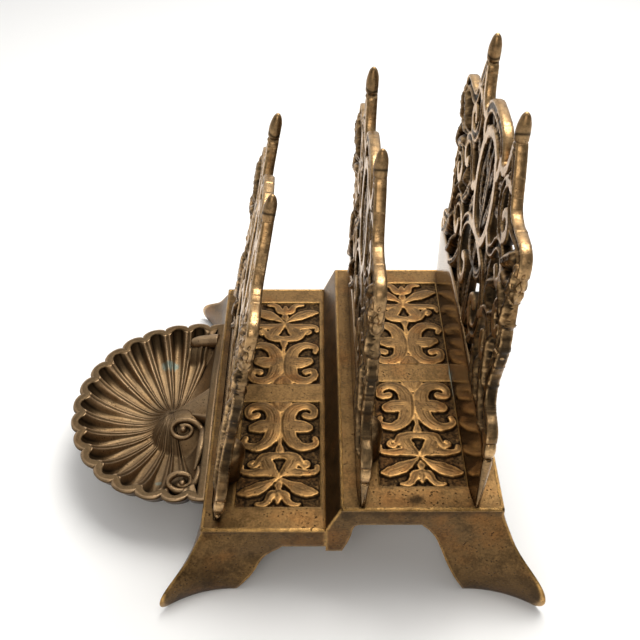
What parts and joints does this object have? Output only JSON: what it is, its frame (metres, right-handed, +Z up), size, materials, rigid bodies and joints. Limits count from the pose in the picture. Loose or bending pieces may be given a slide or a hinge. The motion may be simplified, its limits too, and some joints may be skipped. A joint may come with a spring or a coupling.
{
  "type": "letter rack",
  "caption": "Cast brass letter rack: a stepped base on splayed feet carries pierced scrollwork plates for letters, with a scallop shell dish on its front.",
  "frame": {"origin": "on the surface the rack stands on, at the middle of its length and half way between the rim of the dish and the rear toes", "axes": "+X along the length of the plates, +Y from the dish to the back, +Z up"},
  "size_m": [0.192, 0.2118, 0.1969],
  "materials": {
    "cast_brass": "aged sand cast brass, brown patina with worn bright edges",
    "scroll_brass": "aged cast brass, dark in the recesses and bright on the high scrolls",
    "shell_brass": "aged cast brass with dark flutes and a worn rim",
    "turned_brass": "dull turned brass"
  },
  "bodies": {
    "root": {"base_front": "cast_brass", "base_rear": "cast_brass", "plate_front": "scroll_brass", "plate_middle": "scroll_brass", "plate_rear": "scroll_brass", "shell_dish": "shell_brass", "plate_front_screws": "turned_brass", "plate_middle_screws": "turned_brass", "plate_rear_screws": "turned_brass", "plate_front_washers": "turned_brass", "plate_middle_washers": "turned_brass", "plate_rear_washers": "turned_brass", "shell_dish_screws": "turned_brass", "base_joining_screws": "turned_brass", "base_joining_nuts": "turned_brass"}
  },
  "joints": []
}
